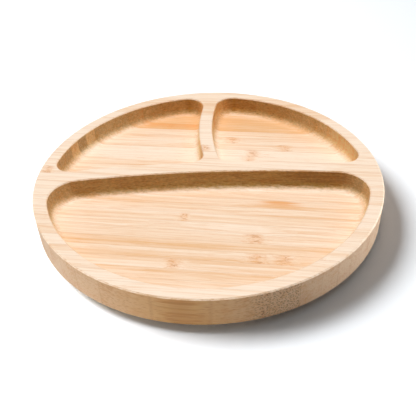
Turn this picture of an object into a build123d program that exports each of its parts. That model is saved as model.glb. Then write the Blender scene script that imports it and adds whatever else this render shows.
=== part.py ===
from build123d import *
import os

# A round, divided toddler plate of edge-glued bamboo that stands on a removable silicone suction ring.
# Millimetres. The origin is on the table under the plate's centre, +Z is up, +X runs along the long
# divider and +Y points to the two small compartments.

# Plate
plate_radius = 100.0
plate_thickness = 18.0
plate_top_bevel = 0.6
plate_base_bevel = 1.2

# Compartments, milled from the top with one round-nosed cutter
rim_width = 7.6
pocket_depth = 12.3
pocket_floor_round = 5.2
long_divider_front = 0.65
long_divider_width = 10.3
long_divider_radius = 614.0
short_divider_width = 8.4
short_divider_radius = 165.0
short_divider_bow_x = -0.65
short_divider_bow_y = 48.3
main_corner_radius = 16.5
tip_corner_radius = 9.5
divider_corner_radius = 8.0
rim_corner_radius = 11.5

# Bamboo strips that the board is glued up from, cut at a small angle to the long divider
strip_width = 7.54
strip_count = 28
first_seam = -99.0
grain_angle = -7.9

# Silicone suction ring: two sealing lips below a flat seat, and a bead that plugs into the plate
ring_lift = 5.0
lip_outer_radius = 70.0
lip_inner_radius = 46.0
lip_contact_width = 1.5
lip_edge_height = 0.8
lip_root_height = 2.2
seat_outer_radius = 64.0
seat_inner_radius = 52.0
seat_edge_height = 3.6
bead_centre_radius = 58.0
bead_width = 4.6
bead_height = 2.9
bead_round = 0.8

# Release tab on the front of the ring
tab_width = 18.0
tab_reach = 87.0
tab_root = 66.0
tab_underside = 1.2
tab_thickness = 1.8
tab_corner_radius = 6.0
grip_rib_count = 3
grip_rib_pitch = 3.4
grip_rib_radius = 0.7
grip_rib_margin = 3.0

# Clearances between the ring and the plate
groove_side_gap = 0.3
groove_end_gap = 0.3
seat_gap = 0.2

os.makedirs("parts", exist_ok=True)

plate_base = ring_lift + seat_gap
plate_top = plate_base + plate_thickness
floor_level = plate_top - pocket_depth
pocket_limit = plate_radius - rim_width
groove_depth = bead_height - seat_gap + groove_end_gap
arch_centre = (0, long_divider_front - long_divider_radius)
bow_centre = (short_divider_bow_x + short_divider_radius, short_divider_bow_y)


def save(piece, name):
    """Label a finished piece and write it as its own STEP file."""
    piece.part.label = name
    export_step(piece.part, f"parts/{name}.step")


def small_compartment(divider_side_radius, divider_side_mode):
    """Outline behind the arched long divider, bounded by one side of the bowed short divider."""
    with BuildSketch(Plane.XY.offset(floor_level)) as outline:
        Circle(pocket_limit)
        with Locations(arch_centre):
            Circle(long_divider_radius + long_divider_width, mode=Mode.SUBTRACT)
        with Locations(bow_centre):
            Circle(divider_side_radius, mode=divider_side_mode)
        fillet(outline.vertices().sort_by_distance((0, 0, floor_level))[0], divider_corner_radius)
        fillet(outline.vertices().sort_by(Axis.Y)[-1], rim_corner_radius)
        fillet(outline.vertices().sort_by(lambda corner: abs(corner.X))[-1], tip_corner_radius)
    return outline.sketch


# Outlines of the three compartments, all inside the rim.
with BuildSketch(Plane.XY.offset(floor_level)) as large_compartment:
    Circle(pocket_limit)
    with Locations(arch_centre):
        Circle(long_divider_radius, mode=Mode.INTERSECT)
    fillet(large_compartment.vertices(), main_corner_radius)
left_compartment = small_compartment(short_divider_radius + short_divider_width / 2, Mode.SUBTRACT)
right_compartment = small_compartment(short_divider_radius - short_divider_width / 2, Mode.INTERSECT)

# The whole milled plate, before it is taken apart into its strips.
with BuildPart() as plate:
    with BuildSketch(Plane.XY.offset(plate_base)):
        Circle(plate_radius)
    extrude(amount=plate_thickness)
    chamfer(plate.edges().group_by(Axis.Z)[0], plate_base_bevel)
    add([large_compartment.sketch, left_compartment, right_compartment])
    extrude(amount=pocket_depth, mode=Mode.SUBTRACT)
    fillet(plate.edges().filter_by_position(Axis.Z, floor_level, floor_level), pocket_floor_round)
    chamfer(plate.edges().group_by(Axis.Z)[-1], plate_top_bevel)
    with BuildSketch(Plane.XY.offset(plate_base)):
        Circle(bead_centre_radius + bead_width / 2 + groove_side_gap)
        Circle(bead_centre_radius - bead_width / 2 - groove_side_gap, mode=Mode.SUBTRACT)
    extrude(amount=groove_depth, mode=Mode.SUBTRACT)

# Bamboo strips, numbered from the front: slabs of the plate between parallel upright seams.
inner_seams = [first_seam + index * strip_width for index in range(strip_count - 1)]
seams = [-plate_radius, *inner_seams, plate_radius]
grain = Plane.XY.rotated((0, 0, grain_angle))
for number, (front_seam, back_seam) in enumerate(zip(seams, seams[1:]), start=1):
    seam_plane = Plane(
        origin=grain.y_dir * front_seam + Vector(0, 0, plate_top),
        x_dir=grain.x_dir,
        z_dir=grain.y_dir,
    )
    with BuildPart() as strip:
        add(plate.part)
        with BuildSketch(seam_plane):
            Rectangle(2 * plate_radius, 2 * plate_top)
        extrude(amount=back_seam - front_seam, mode=Mode.INTERSECT)
    save(strip, f"bamboo_strip_{number:02d}")

# Suction ring: one revolved silicone section, with a release tab that reaches out under the rim.
with BuildPart() as suction_ring:
    with BuildSketch(Plane.XZ):
        with BuildLine():
            Polyline(
                (lip_outer_radius - lip_contact_width, 0),
                (lip_outer_radius, 0),
                (lip_outer_radius, lip_edge_height),
                (seat_outer_radius, seat_edge_height),
                (seat_outer_radius, ring_lift),
                (bead_centre_radius + bead_width / 2, ring_lift),
                (bead_centre_radius + bead_width / 2, ring_lift + bead_height),
                (bead_centre_radius - bead_width / 2, ring_lift + bead_height),
                (bead_centre_radius - bead_width / 2, ring_lift),
                (seat_inner_radius, ring_lift),
                (seat_inner_radius, seat_edge_height),
                (lip_inner_radius, lip_edge_height),
                (lip_inner_radius, 0),
                (lip_inner_radius + lip_contact_width, 0),
                (seat_inner_radius, lip_root_height),
                (seat_outer_radius, lip_root_height),
                close=True,
            )
        make_face()
    revolve(axis=Axis.Z)
    fillet(suction_ring.edges().group_by(Axis.Z)[-1], bead_round)
    with BuildSketch(Plane.XY.offset(tab_underside)) as tab_outline:
        with Locations((0, -(tab_root + tab_reach) / 2)):
            Rectangle(tab_width, tab_reach - tab_root)
        fillet(tab_outline.vertices().group_by(Axis.Y)[0], tab_corner_radius)
    extrude(amount=tab_thickness)
    rib_level = tab_underside + tab_thickness
    for rib in range(grip_rib_count):
        rib_y = -tab_reach + tab_corner_radius + rib * grip_rib_pitch
        with BuildSketch(Plane.YZ.offset(-tab_width / 2 + grip_rib_margin)):
            with Locations((rib_y, rib_level)):
                Circle(grip_rib_radius)
        extrude(amount=tab_width - 2 * grip_rib_margin)
save(suction_ring, "suction_ring")
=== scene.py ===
import math
import random

import bpy
from mathutils import Matrix, Vector


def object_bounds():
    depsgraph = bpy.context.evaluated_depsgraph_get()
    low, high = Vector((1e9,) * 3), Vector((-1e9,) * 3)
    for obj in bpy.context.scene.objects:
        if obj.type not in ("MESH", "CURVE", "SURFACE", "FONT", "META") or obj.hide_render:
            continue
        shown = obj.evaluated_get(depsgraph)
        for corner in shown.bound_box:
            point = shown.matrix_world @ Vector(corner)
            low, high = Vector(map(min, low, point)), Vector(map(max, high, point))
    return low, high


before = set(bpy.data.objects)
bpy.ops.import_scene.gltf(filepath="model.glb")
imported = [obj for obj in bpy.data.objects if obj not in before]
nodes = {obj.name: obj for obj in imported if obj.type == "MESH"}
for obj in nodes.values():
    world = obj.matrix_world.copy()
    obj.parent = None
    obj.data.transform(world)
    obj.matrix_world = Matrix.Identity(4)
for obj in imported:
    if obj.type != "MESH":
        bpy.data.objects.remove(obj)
cad_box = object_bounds()
MM = 0.001

# The direction that the bamboo fibres run in, and the level direction across them.
GRAIN_ANGLE = math.radians(-7.9)
ALONG = Vector((math.cos(GRAIN_ANGLE), math.sin(GRAIN_ANGLE), 0.0))
ACROSS = Vector((-math.sin(GRAIN_ANGLE), math.cos(GRAIN_ANGLE), 0.0))

# The plate's top face, and the circle that the compartments stay inside, in millimetres.
TOP = cad_box[1][2] / MM
RIM_INSIDE = 92.9


def linear(red, green, blue):
    """A display colour, 0 to 255 a channel, as the linear colour that Blender works in."""
    parts = [c / 255.0 for c in (red, green, blue)]
    return [c / 12.92 if c <= 0.04045 else ((c + 0.055) / 1.055) ** 2.4 for c in parts] + [1.0]


# Colours of the wood.
PALE_WOOD = linear(253, 232, 210)
HONEY_WOOD = linear(233, 182, 128)
BUNDLE_ON_TOP = linear(224, 166, 108)
BUNDLE_ON_WALL = linear(205, 150, 98)
COARSE_BUNDLE = linear(138, 92, 50)
HAIR_LINE = linear(230, 166, 106)
KNUCKLE_SMUDGE = linear(233, 170, 112)
KNUCKLE_STROKE = linear(190, 124, 68)
STAINED = linear(233, 165, 100)
GLUE_LINE = linear(190, 138, 88)

# Tints that multiply the wood's colour where a face is cut in some way. The flank and hollow tints
# are partly painted shade, darkening and warming the compartment walls and the rounds below them.
FLANK_TINT_AND_SHADE = linear(219, 186, 126)
HOLLOW_TINT_AND_SHADE = linear(252, 246, 230)
TORN_TINT = linear(239, 251, 240)
OUTER_WALL_TINT = linear(245, 238, 232)
END_WALL_TINT = linear(253, 250, 226)

# How strongly each mark covers the wood's colour, from 0 to 1.
COARSE_COVER = 0.65
SMUDGE_COVER = 0.62
STROKE_COVER = 0.5
GLUE_COVER = 0.3

# How much honey each pattern adds to the pale wood, from 0 to 1.
STREAK_HONEY = 0.36
FINE_HONEY = 0.3
BAND_HONEY = 0.2
OUTER_HONEY = 0.12
MILLED_HONEY = 0.23
HONEY_OFFSET = -0.16

# Places in the plate and sizes of its marks, in millimetres, along or across the fibres from the
# plate's centre, or from what the name says. A pair is where a change starts and ends.
LEFT_WALLS = (-55.0, -25.0)
RIGHT_WALLS = (30.0, 60.0)
SHORT_DIVIDER = -6.0
FROM_SHORT_DIVIDER = (8.0, 14.0)
BEHIND_LONG_DIVIDER = (14.0, 20.0)
OVER_THE_RIM = (RIM_INSIDE, RIM_INSIDE + 1.5)
UNDER_THE_TOP = (TOP - 0.9, TOP - 0.2)
FROM_GLUE_LINE = (0.02, 0.22)
STAIN_EDGE = (-9.0, 5.0)
STAIN_RAGGEDNESS = 24.0
KNUCKLE_RAGGEDNESS = 6.0
FIBRE_DRIFT = 3.0
FIBRE_CURL = 0.25
KNUCKLE_CURL = 4.0
COARSE_START = 10.0
PATTERN_SPREAD = 900.0

# Places in a knuckle, where 0 is its middle and 1 is its edge.
SWIRL = (0.1, 1.6)
SMUDGE = (-0.2, 1.1)
SMUDGE_LIMIT = (0.7, 1.6)
STROKES = (0.1, 0.75)
SMUDGE_RAGGEDNESS = -2.4

# The slopes at which a face starts and ends being end grain, a wall, or a hollow's side.
END_GRAIN_SLOPE = (0.08, 0.75)
WALL_SLOPE = (0.2, 0.75)
HOLLOW_SLOPE = (0.6, 0.995)
WALL_NIBBLE = 0.7
END_WALL_NIBBLE = 0.2

# How much lighter or darker the walls and the rounds get, as a part of their brightness. The
# right-hand walls' change is partly painted light, and the short divider's is painted light.
WALL_TONE = 0.2
SHORT_DIVIDER_PAINTED_LIGHT = 0.45
WALL_SCALES = 0.8
ROUND_FLAKES = 0.14
BETWEEN_FLAKES = -0.04

# Fibre bundles: how many per millimetre, and where a dot's edge is, in spacings of the dots.
BUNDLES = {"across": 1.15, "upward": 0.95}
BUNDLE_RADIUS = 0.2
BUNDLE_GROWTH = 0.17
BUNDLE_EDGE = (-0.12, 0.1)
COARSE_BUNDLES = {"across": 1.6, "upward": 1.0}
COARSE_EDGE = (0.12, 0.38)

# Noise patterns in the wood: cycles per millimetre along the fibres and across them, and detail.
DRIFT = {"along": 0.02, "across": 0.05, "detail": 1.0}
CURL = {"along": 0.22, "across": 0.3}
PATCHES = {"along": 0.06, "across": 0.9}
FINE = {"along": 0.03, "across": 2.7, "detail": 4.0, "roughness": 0.65}
STREAKS = {"along": 0.012, "across": 0.6, "detail": 3.0, "roughness": 0.6}
HAIRS = {"along": 0.022, "across": 1.7}
NIBBLES = {"along": 0.35, "across": 0.9, "detail": 3.0, "roughness": 0.6}
SCALES = {"along": 0.55, "across": 0.9, "upward": 1.0, "roughness": 0.6}


class Graph:
    """A material whose nodes are added by short calls, each returning an output socket."""

    def __init__(self, name):
        self.material = bpy.data.materials.new(name)
        self.material.use_nodes = True
        self.tree = self.material.node_tree
        self.tree.nodes.clear()
        self.output = self.tree.nodes.new("ShaderNodeOutputMaterial")

    def put(self, socket, value):
        if isinstance(value, bpy.types.NodeSocket):
            self.tree.links.new(value, socket)
        elif value is not None:
            socket.default_value = value

    def add(self, kind, settings=None, out=0, **inputs):
        node = self.tree.nodes.new(kind)
        for key, value in (settings or {}).items():
            setattr(node, key, value)
        for key, value in inputs.items():
            self.put(node.inputs[key.replace("_", " ")], value)
        return node.outputs[out]

    def math(self, operation, *values, clamp=False):
        node = self.tree.nodes.new("ShaderNodeMath")
        node.operation = operation
        node.use_clamp = clamp
        for socket, value in zip(node.inputs, values):
            self.put(socket, value)
        return node.outputs[0]

    def plus(self, first, second, clamp=False):
        return self.math("ADD", first, second, clamp=clamp)

    def minus(self, first, second):
        return self.math("SUBTRACT", first, second)

    def size(self, value):
        return self.math("ABSOLUTE", value)

    def times(self, first, second, *more):
        product = self.math("MULTIPLY", first, second)
        for value in more:
            product = self.math("MULTIPLY", product, value)
        return product

    def line(self, value, slope, start):
        """value times slope, plus start."""
        return self.math("MULTIPLY_ADD", value, slope, start)

    def step(self, value, low, high, to_low=0.0, to_high=1.0):
        """A smooth ramp, from to_low where value is low to to_high where it is high."""
        node = self.tree.nodes.new("ShaderNodeMapRange")
        node.interpolation_type = "SMOOTHSTEP"
        names = ("Value", "From Min", "From Max", "To Min", "To Max")
        for key, part in zip(names, (value, low, high, to_low, to_high)):
            self.put(node.inputs[key], part)
        return node.outputs[0]

    def fade(self, value, low, high):
        """A smooth ramp down from 1 at low to 0 at high."""
        return self.step(value, low, high, 1.0, 0.0)

    def vector(self, x, y, z):
        return self.add("ShaderNodeCombineXYZ", X=x, Y=y, Z=z)

    def axes(self, vector):
        """The x, y and z of a vector."""
        node = self.tree.nodes.new("ShaderNodeSeparateXYZ")
        self.put(node.inputs[0], vector)
        return node.outputs

    def noise(self, vector, scale=1.0, detail=2.0, roughness=0.5):
        return self.add(
            "ShaderNodeTexNoise", Vector=vector, Scale=scale, Detail=detail, Roughness=roughness
        )

    def mix(self, factor, first, second, blend="MIX"):
        node = self.tree.nodes.new("ShaderNodeMix")
        node.data_type = "RGBA"
        node.blend_type = blend
        for index, value in ((0, factor), (6, first), (7, second)):
            self.put(node.inputs[index], value)
        return node.outputs[2]

    def property(self, name):
        """A number stored on the object that wears the material."""
        settings = {"attribute_type": "OBJECT", "attribute_name": name}
        return self.add("ShaderNodeAttribute", settings, out=2)

    def principled(self, normal=None, **inputs):
        node = self.tree.nodes.new("ShaderNodeBsdfPrincipled")
        for key, value in inputs.items():
            self.put(node.inputs[key.replace("_", " ")], value)
        self.put(node.inputs["Normal"], normal)
        self.tree.links.new(node.outputs[0], self.output.inputs["Surface"])
        return self.material


class Bamboo(Graph):
    """Bamboo in three dimensions, with fibre bundles that run along each strip.

    The bundles are thicker towards one face of the strip. Places are in millimetres: u along the
    fibres, s level across them, and z upward.
    """

    def __init__(self):
        super().__init__("bamboo")
        place = self.add("ShaderNodeTexCoord", out=3)
        turned = self.add(
            "ShaderNodeVectorRotate", {"rotation_type": "Z_AXIS"}, Vector=place, Angle=-GRAIN_ANGLE
        )
        scaled = self.add(
            "ShaderNodeVectorMath", {"operation": "SCALE"}, Vector=turned, Scale=1 / MM
        )
        self.u, self.s, self.z = self.axes(scaled)
        # Each strip has its own stretch of every pattern.
        self.shift = self.times(self.property("seed"), PATTERN_SPREAD)
        self.u_own = self.plus(self.u, self.shift)
        self.place_in_strip()
        self.knuckles()
        self.fibres()
        self.cut_of_the_face()
        colour = self.knuckle_marks(self.face_shading(self.wood_colour()))
        colour = self.glue_lines(self.stain(colour))
        height = self.plus(self.times(self.fine, 0.6), self.times(self.bundle, -0.5))
        bump = self.add("ShaderNodeBump", Strength=0.25, Distance=0.12 * MM, Height=height)
        rough = self.line(self.fine, 0.12, self.line(self.end_grain, 0.12, 0.42))
        self.principled(normal=bump, Base_Color=colour, Roughness=rough, Specular_IOR_Level=0.35)

    def straight(self, along, across, upward=None, **detail):
        """Noise stretched along the fibres as if they ran straight."""
        x, y = self.times(self.u_own, along), self.times(self.s, across)
        return self.noise(self.vector(x, y, self.times(self.z, upward or across)), **detail)

    def wandering(self, along, across, **detail):
        """Noise stretched along the fibres as they really run."""
        x, y = self.times(self.u_own, along), self.times(self.s_bent, across)
        return self.noise(self.vector(x, y, self.times(self.z_bent, across)), **detail)

    def scatter(self, across, upward):
        """Scattered points in the end grain: how far the nearest is, and its own random colour."""
        node = self.tree.nodes.new("ShaderNodeTexVoronoi")
        node.voronoi_dimensions = "2D"
        x, y = self.line(self.s_bent, across, self.shift), self.times(self.z_bent, upward)
        self.put(node.inputs["Vector"], self.vector(x, y, 0.0))
        self.put(node.inputs["Scale"], 1.0)
        return node.outputs["Distance"], node.outputs["Color"]

    def place_in_strip(self):
        """How far from the strip's front seam, 0 to 1, and from its inner to its outer face."""
        front, width = self.property("seam_front"), self.property("strip_width")
        self.from_front = self.minus(self.s, front)
        self.from_back = self.minus(self.plus(front, width), self.s)
        self.across = self.math("DIVIDE", self.from_front, width, clamp=True)
        self.outer = self.size(self.minus(self.across, self.property("outer_side")))

    def knuckles(self):
        """Up to two places along a strip where the fibres swirl and darken."""
        gaps = []
        for name in ("knuckle_one", "knuckle_two"):
            y, z = self.times(self.s, 0.45), self.times(self.z, 0.3)
            ragged = self.noise(self.vector(self.shift, y, z), detail=3.0)
            ragged = self.line(ragged, KNUCKLE_RAGGEDNESS, -KNUCKLE_RAGGEDNESS / 2)
            centre = self.plus(self.property(name), ragged)
            gaps.append(self.size(self.minus(self.u, centre)))
        nearest = self.math("MINIMUM", *gaps)
        # 0 in the middle of a knuckle, 1 at its edge.
        self.knuckle = self.math("DIVIDE", nearest, self.property("knuckle_half"))

    def fibres(self):
        """Fibres wander a little and swirl at the knuckles. Bundles are dots in the end grain."""
        swirl = self.line(self.fade(self.knuckle, *SWIRL), KNUCKLE_CURL, FIBRE_CURL)
        drift = self.line(self.straight(**DRIFT), FIBRE_DRIFT, -FIBRE_DRIFT / 2)
        curl = self.times(self.minus(self.straight(**CURL), 0.5), swirl)
        self.bend = self.plus(drift, curl)
        self.s_bent = self.plus(self.s, self.bend)
        self.z_bent = self.plus(self.z, self.bend)

        distance, random_colour = self.scatter(**BUNDLES)
        strength = self.add("ShaderNodeSeparateColor", Color=random_colour)
        radius = self.line(self.outer, BUNDLE_GROWTH, BUNDLE_RADIUS)
        dots = self.minus(1.0, self.step(self.minus(distance, radius), *BUNDLE_EDGE))
        patches = self.step(self.wandering(**PATCHES), 0.35, 0.65, 0.1, 0.6)
        self.bundle = self.times(dots, self.line(strength, 0.5, patches))

        # Some strips have coarser, darker bundles towards one end.
        distance, _ = self.scatter(**COARSE_BUNDLES)
        start = self.property("coarse_from")
        begun = self.step(self.u, start, self.plus(start, COARSE_START))
        self.coarse = self.times(self.fade(distance, *COARSE_EDGE), begun)

        self.fine = self.wandering(**FINE)
        self.streak = self.wandering(**STREAKS)

    def cut_of_the_face(self):
        """How the face is cut, as masks from 0 to 1."""
        normal = self.add("ShaderNodeNewGeometry", out=1)
        lean = self.tree.nodes.new("ShaderNodeVectorMath")
        lean.operation = "DOT_PRODUCT"
        self.put(lean.inputs[0], normal)
        lean.inputs[1].default_value = ALONG
        # crossing is 1 straight across the fibres and 0 along them. end_grain is a sharper form.
        self.crossing = self.size(lean.outputs["Value"])
        self.end_grain = self.step(self.crossing, *END_GRAIN_SLOPE)

        # upright is 1 on a wall and 0 on a level face, with a nibbled edge between the two.
        self.level = self.size(self.axes(normal)[2])
        nibbles = self.line(self.straight(**NIBBLES), WALL_NIBBLE, -WALL_NIBBLE / 2)
        nibbled = self.plus(self.level, nibbles)
        nibbled = self.plus(nibbled, self.line(self.crossing, END_WALL_NIBBLE, -END_WALL_NIBBLE))
        self.upright = self.fade(nibbled, *WALL_SLOPE)

        # milled is 1 inside the compartments, below the plate's top face.
        spread = self.add(
            "ShaderNodeVectorMath",
            {"operation": "LENGTH"},
            out=1,
            Vector=self.vector(self.u, self.s, 0.0),
        )
        inside = self.fade(spread, *OVER_THE_RIM)
        self.milled = self.times(inside, self.fade(self.z, *UNDER_THE_TOP))
        self.milled_wall = self.times(self.upright, self.milled)

    def wood_colour(self):
        """Pale wood with honey streaks and bands, darker bundles and hair lines along the strip."""
        x, z = self.times(self.u_own, 0.007), self.times(self.z, 0.1)
        band = self.noise(self.vector(x, self.line(self.s, 0.12, self.shift), z), detail=1.0)
        tone = self.times(self.line(self.milled, 0.25, 0.25), self.minus(1.0, self.upright))
        honey = self.plus(
            self.times(self.step(self.streak, 0.42, 0.66), STREAK_HONEY),
            self.times(self.step(self.fine, 0.42, 0.7), FINE_HONEY),
        )
        honey = self.plus(honey, self.times(self.step(band, 0.4, 0.65), BAND_HONEY))
        honey = self.plus(honey, self.times(self.property("tone"), tone))
        honey = self.plus(honey, self.line(self.milled, MILLED_HONEY, HONEY_OFFSET))
        outer = self.line(self.outer, OUTER_HONEY, -OUTER_HONEY / 2)
        honey = self.plus(honey, outer, clamp=True)
        colour = self.mix(honey, PALE_WOOD, HONEY_WOOD)

        strength = self.plus(self.line(self.upright, 0.35, 0.2), self.times(self.milled, 0.1))
        strength = self.times(strength, self.line(self.end_grain, -0.5, 1.0))
        bundles = self.mix(self.upright, BUNDLE_ON_TOP, BUNDLE_ON_WALL)
        colour = self.mix(self.times(self.bundle, strength), colour, bundles)

        hair = self.fade(self.size(self.minus(self.wandering(**HAIRS), 0.62)), 0.0, 0.035)
        hair = self.times(hair, self.line(self.milled, 0.22, 0.2))
        colour = self.mix(hair, colour, HAIR_LINE)
        coarse = self.times(self.coarse, self.upright, COARSE_COVER)
        return self.mix(coarse, colour, COARSE_BUNDLE)

    def face_shading(self, colour):
        """Walls darker and rougher, partly the cut face's own colour and partly painted shade;
        painted light on the right-hand walls and beside the short divider; on the rounds below the
        walls, a warm tint that is partly painted shade, and pale flakes left by the cutter.
        """
        # Painted shade: the walls along the fibres are darkened and warmed, partly their own
        # cut-face colour and partly shade painted in.
        flank = self.times(self.upright, self.line(self.crossing, -0.95, 1.0))
        colour = self.mix(flank, colour, FLANK_TINT_AND_SHADE, "MULTIPLY")
        # Painted shade: the rounds below the walls are warmed, partly the milled cross-grain look
        # and partly the golden colour of shade painted in.
        hollow = self.times(self.fade(self.level, *HOLLOW_SLOPE), self.milled)
        colour = self.mix(hollow, colour, HOLLOW_TINT_AND_SHADE, "MULTIPLY")

        scales = self.straight(**SCALES)
        left = self.step(self.u, *LEFT_WALLS, WALL_TONE, 0.0)
        # Painted light: the right-hand walls are lightened strip by strip, partly their own tone
        # and partly light painted in.
        right = self.step(self.u, *RIGHT_WALLS, 0.0, WALL_TONE)
        left = self.times(self.property("wall_left"), left)
        right = self.times(self.property("wall_right"), right)
        # Painted light: the sides of the short divider are painted lighter, standing in for light
        # that falls on them.
        painted_light_beside = self.fade(self.size(self.minus(self.u, SHORT_DIVIDER)), *FROM_SHORT_DIVIDER)
        behind = self.step(self.s, *BEHIND_LONG_DIVIDER)
        painted_light_beside = self.times(painted_light_beside, behind, self.crossing, SHORT_DIVIDER_PAINTED_LIGHT)
        rough = self.line(scales, WALL_SCALES, -WALL_SCALES / 2)
        walls = self.minus(self.minus(rough, left), right)
        shade = self.line(self.milled_wall, self.plus(walls, painted_light_beside), 1.0)
        rounds = self.times(hollow, self.minus(1.0, self.upright))
        flakes = self.line(self.step(scales, 0.38, 0.62), ROUND_FLAKES, BETWEEN_FLAKES)
        shade = self.plus(shade, self.times(rounds, flakes))
        colour = self.mix(1.0, colour, self.vector(shade, shade, shade), "MULTIPLY")

        torn = self.times(self.milled_wall, self.line(self.crossing, -0.9, 1.0))
        colour = self.mix(torn, colour, TORN_TINT, "MULTIPLY")
        outer_wall = self.times(self.upright, self.minus(1.0, self.milled))
        colour = self.mix(outer_wall, colour, OUTER_WALL_TINT, "MULTIPLY")
        end_wall = self.times(self.milled_wall, self.crossing)
        return self.mix(end_wall, colour, END_WALL_TINT, "MULTIPLY")

    def knuckle_marks(self, colour):
        """A ragged warm smudge across the strip, with short darker strokes at its middle."""
        y = self.line(self.bend, 0.4, self.times(self.s, 0.75))
        place = self.vector(self.times(self.u_own, 0.2), y, self.times(self.z_bent, 0.9))
        speck = self.noise(place, detail=4.0, roughness=0.6)
        ragged = self.line(speck, SMUDGE_RAGGEDNESS, -SMUDGE_RAGGEDNESS / 2)
        smudge = self.times(
            self.fade(self.plus(self.knuckle, ragged), *SMUDGE),
            self.fade(self.knuckle, *SMUDGE_LIMIT),
            self.step(self.fine, 0.35, 0.6, 0.4, 1.0),
            SMUDGE_COVER,
        )
        middle = self.fade(self.knuckle, *STROKES)
        stroke = self.times(middle, self.step(speck, 0.53, 0.64), STROKE_COVER)
        colour = self.mix(smudge, colour, KNUCKLE_SMUDGE)
        return self.mix(stroke, colour, KNUCKLE_STROKE)

    def stain(self, colour):
        """A warm stained stretch on the compartments' floors, which a few strips have."""
        gap = self.size(self.minus(self.u, self.property("stain_at")))
        half = self.property("stain_half")
        edge = self.line(self.minus(self.streak, 0.5), STAIN_RAGGEDNESS, half)
        stain = self.times(
            self.fade(self.minus(gap, edge), *STAIN_EDGE),
            self.milled,
            self.step(self.across, 0.15, 0.9, 0.35, 1.0),
            self.step(self.fine, 0.3, 0.6, 0.55, 1.0),
        )
        return self.mix(stain, colour, STAINED)

    def glue_lines(self, colour):
        """Thin darker lines where two strips meet."""
        nearest = self.math("MINIMUM", self.from_front, self.from_back)
        seam = self.fade(nearest, *FROM_GLUE_LINE)
        return self.mix(self.times(seam, GLUE_COVER), colour, GLUE_LINE)


def silicone():
    """Soft matt food-grade silicone with a faint moulded mottle."""
    g = Graph("silicone")
    place = g.add("ShaderNodeTexCoord", out=3)
    mottle = g.noise(place, scale=180.0, detail=4.0, roughness=0.6)
    dust = g.noise(place, scale=1400.0)
    colour = g.mix(g.step(mottle, 0.35, 0.65), linear(222, 217, 206), linear(232, 228, 218))
    bump = g.add("ShaderNodeBump", Strength=0.2, Distance=0.06 * MM, Height=dust)
    rough = g.line(mottle, 0.12, 0.42)
    return g.principled(
        normal=bump,
        Base_Color=colour,
        Roughness=rough,
        Subsurface_Weight=0.15,
        Subsurface_Scale=2.0 * MM,
    )


# How the strips differ, by strip number. A tone is lighter below zero and darker above.
TONES = {
    2: -0.5, 3: -0.3, 4: -0.1, 5: 0.3, 6: 0.0, 7: 0.15, 8: 0.45, 9: -0.1, 10: -0.3, 11: -0.2,
    12: 0.0, 13: 0.1, 14: 0.1, 15: 0.0, 16: -0.2, 17: -0.2, 18: -0.1, 19: -0.9, 20: -0.8,
    21: -0.1, 22: 0.0, 23: -0.1, 24: 1.3, 25: 1.1, 26: 0.8, 27: 0.1,
}
WALL_TONES_LEFT = {15: 0.1, 16: 0.3, 17: 0.5, 18: -0.9, 19: 0.8, 20: -0.8, 21: 0.3, 23: 0.2}
# The right-hand walls' tones are partly the strips' own tone and partly painted light: most are
# painted lighter, as if lit from the left.
RIGHT_WALL_TONES_AND_LIGHT = {
    15: 0.8, 16: 0.6, 18: -1.0, 19: -1.6, 20: -1.7, 21: -1.7, 22: -1.3, 23: -0.6, 24: -0.2,
}
# Half the length of a knuckle, then the places of one or two along the strip, in millimetres.
KNUCKLES = {
    5: (5, 46), 6: (6, 62, -10), 7: (7, 33, 46), 9: (7, 30), 11: (3.5, -10), 14: (5, -95),
    18: (5, -5), 19: (6, 22), 20: (6, 24), 21: (6, 44), 22: (7, 9), 24: (5, -36),
}
PLAIN = (5,)
# Where the coarse bundles start, and the middle and half the length of a stain, in millimetres.
COARSE = {2: 28.0, 3: 30.0}
STAINS = {13: (43.0, 12.0), 24: (-30.0, 26.0)}
NOWHERE = 1000.0

random.seed(7)
wood = Bamboo().material
for name in sorted(n for n in nodes if n.startswith("bamboo_strip_")):
    strip = nodes[name]
    number = int(name[-2:])
    reach = [v.co.dot(ACROSS) / MM for v in strip.data.vertices]
    strip["seam_front"] = min(reach)
    strip["strip_width"] = max(reach) - min(reach)
    strip["seed"] = random.random()
    strip["outer_side"] = float(random.random() < 0.5)
    spare_tone = random.uniform(-0.3, 0.3)
    strip["tone"] = TONES.get(number, spare_tone)
    half, *marks = KNUCKLES.get(number, PLAIN) + (NOWHERE, NOWHERE)
    strip["knuckle_half"] = float(half)
    strip["knuckle_one"], strip["knuckle_two"] = (float(mark) for mark in marks[:2])
    strip["wall_left"] = WALL_TONES_LEFT.get(number, 0.0)
    strip["wall_right"] = RIGHT_WALL_TONES_AND_LIGHT.get(number, 0.0)
    strip["coarse_from"] = COARSE.get(number, NOWHERE)
    strip["stain_at"], strip["stain_half"] = STAINS.get(number, (NOWHERE, 0.0))
    strip.data.materials.clear()
    strip.data.materials.append(wood)

ring = nodes["suction_ring"]
ring.data.materials.clear()
ring.data.materials.append(silicone())

# Camera, in front of the plate and above it, turned about the plate and rolled a little.
CAMERA_AT = Vector((-0.5, -276.3, 215.3)) * MM
CAMERA_TURN = math.radians(0.8)
CAMERA_ELEVATION = math.radians(38.39)
CAMERA_ROLL = math.radians(-2.36)
LENS = 49.85
SENSOR_WIDTH = 36.0
back = Vector((0.0, -math.cos(CAMERA_ELEVATION), math.sin(CAMERA_ELEVATION)))
level = Vector((1.0, 0.0, 0.0))
up = back.cross(level)
side_axis = level * math.cos(CAMERA_ROLL) + up * math.sin(CAMERA_ROLL)
up_axis = up * math.cos(CAMERA_ROLL) - level * math.sin(CAMERA_ROLL)
facing = Matrix((side_axis, up_axis, back)).transposed().to_4x4()
camera = bpy.data.objects.new("camera", bpy.data.cameras.new("camera"))
bpy.context.scene.collection.objects.link(camera)
camera.data.lens = LENS
camera.data.sensor_width = SENSOR_WIDTH
camera.data.clip_start = 10 * MM
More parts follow.
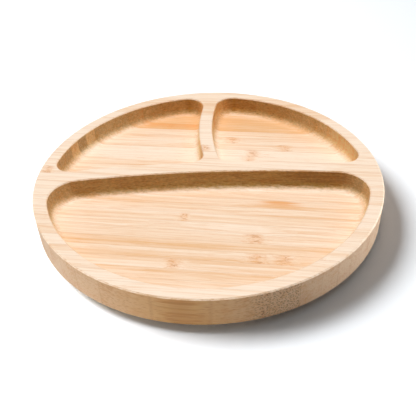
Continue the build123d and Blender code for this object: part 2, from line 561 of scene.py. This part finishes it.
turn = Matrix.Rotation(CAMERA_TURN, 4, "Z")
camera.matrix_world = turn @ Matrix.Translation(CAMERA_AT) @ facing
bpy.context.scene.camera = camera

# A plain pale floor, which isn't mirrored in the object.
FLOOR_HALF = 0.9
corners = [(x * FLOOR_HALF, y * FLOOR_HALF, 0) for x, y in ((-1, -1), (1, -1), (1, 1), (-1, 1))]
floor_mesh = bpy.data.meshes.new("floor")
floor_mesh.from_pydata(corners, [], [(0, 1, 2, 3)])
floor = bpy.data.objects.new("floor", floor_mesh)
bpy.context.scene.collection.objects.link(floor)
floor_colour = linear(246, 250, 254)
paper = Graph("paper")
paper.principled(Base_Color=floor_colour, Roughness=0.9, Specular_IOR_Level=0.1)
floor_mesh.materials.append(paper.material)
floor.visible_glossy = False


def soft_box(name, place, width, watts, lit, colour=(1.0, 1.0, 1.0)):
    """A square area light aimed at the plate's centre, which lights only the objects named."""
    light = bpy.data.lights.new(name, "AREA")
    light.size = width
    light.energy = watts
    light.color = colour
    lamp = bpy.data.objects.new(name, light)
    bpy.context.scene.collection.objects.link(lamp)
    lamp.location = place
    lamp.rotation_euler = (-Vector(place)).to_track_quat("-Z", "Y").to_euler()
    lamp.visible_camera = False
    receivers = bpy.data.collections.new(name + "_lit")
    for piece in lit:
        receivers.objects.link(piece)
    lamp.light_linking.receiver_collection = receivers


# The plate is lit from almost straight above, and the floor from the left and a little behind, so
# that the compartments keep clear of cast shadow while the plate's own shadow falls to the right
# and the front. Two low lamps brighten the sides of the plate's outer wall.
pieces = list(nodes.values())
warm_white = (1.0, 0.96, 0.9)
soft_box("overhead", (-0.04, 0.12, 1.6), width=0.6, watts=26.5, lit=pieces)
soft_box("right_low", (1.0, 0.3, 0.022), width=0.05, watts=7.4, lit=pieces, colour=warm_white)
soft_box("left_low", (-1.0, -0.4, 0.022), width=0.05, watts=3.8, lit=pieces)
soft_box("floor_key", (-1.05, 0.27, 1.35), width=0.85, watts=45.0, lit=[floor])
soft_box("floor_fill", (0.1, -0.3, 1.6), width=1.3, watts=3.5, lit=[floor])

# Studio dome, bright overhead and dim towards the horizon. It is faint, so what the camera sees
# past the floor's edge is a pale backdrop instead, which lights nothing.
LOWEST_DIRECTION = -0.1
HIGHEST_DIRECTION = 0.9
HORIZON_GLOW = 0.06
DOME_STRENGTH = 0.06
world = bpy.data.worlds.new("studio")
bpy.context.scene.world = world
world.use_nodes = True
dome = world.node_tree
lighting = dome.nodes["Background"]
direction = dome.nodes.new("ShaderNodeTexCoord")
parts = dome.nodes.new("ShaderNodeSeparateXYZ")
rise = dome.nodes.new("ShaderNodeMapRange")
rise.interpolation_type = "SMOOTHSTEP"
rise.inputs["From Min"].default_value = LOWEST_DIRECTION
rise.inputs["From Max"].default_value = HIGHEST_DIRECTION
rise.inputs["To Min"].default_value = HORIZON_GLOW
lighting.inputs["Strength"].default_value = DOME_STRENGTH
backdrop = dome.nodes.new("ShaderNodeBackground")
backdrop.inputs["Color"].default_value = linear(236, 238, 240)
seen = dome.nodes.new("ShaderNodeLightPath")
choice = dome.nodes.new("ShaderNodeMixShader")
for source, socket in (
    (direction.outputs["Generated"], parts.inputs[0]),
    (parts.outputs["Z"], rise.inputs["Value"]),
    (rise.outputs[0], lighting.inputs["Color"]),
    (seen.outputs["Is Camera Ray"], choice.inputs[0]),
    (lighting.outputs[0], choice.inputs[1]),
    (backdrop.outputs[0], choice.inputs[2]),
    (choice.outputs[0], dome.nodes["World Output"].inputs["Surface"]),
):
    dome.links.new(source, socket)
bpy.context.scene.view_settings.view_transform = "Standard"
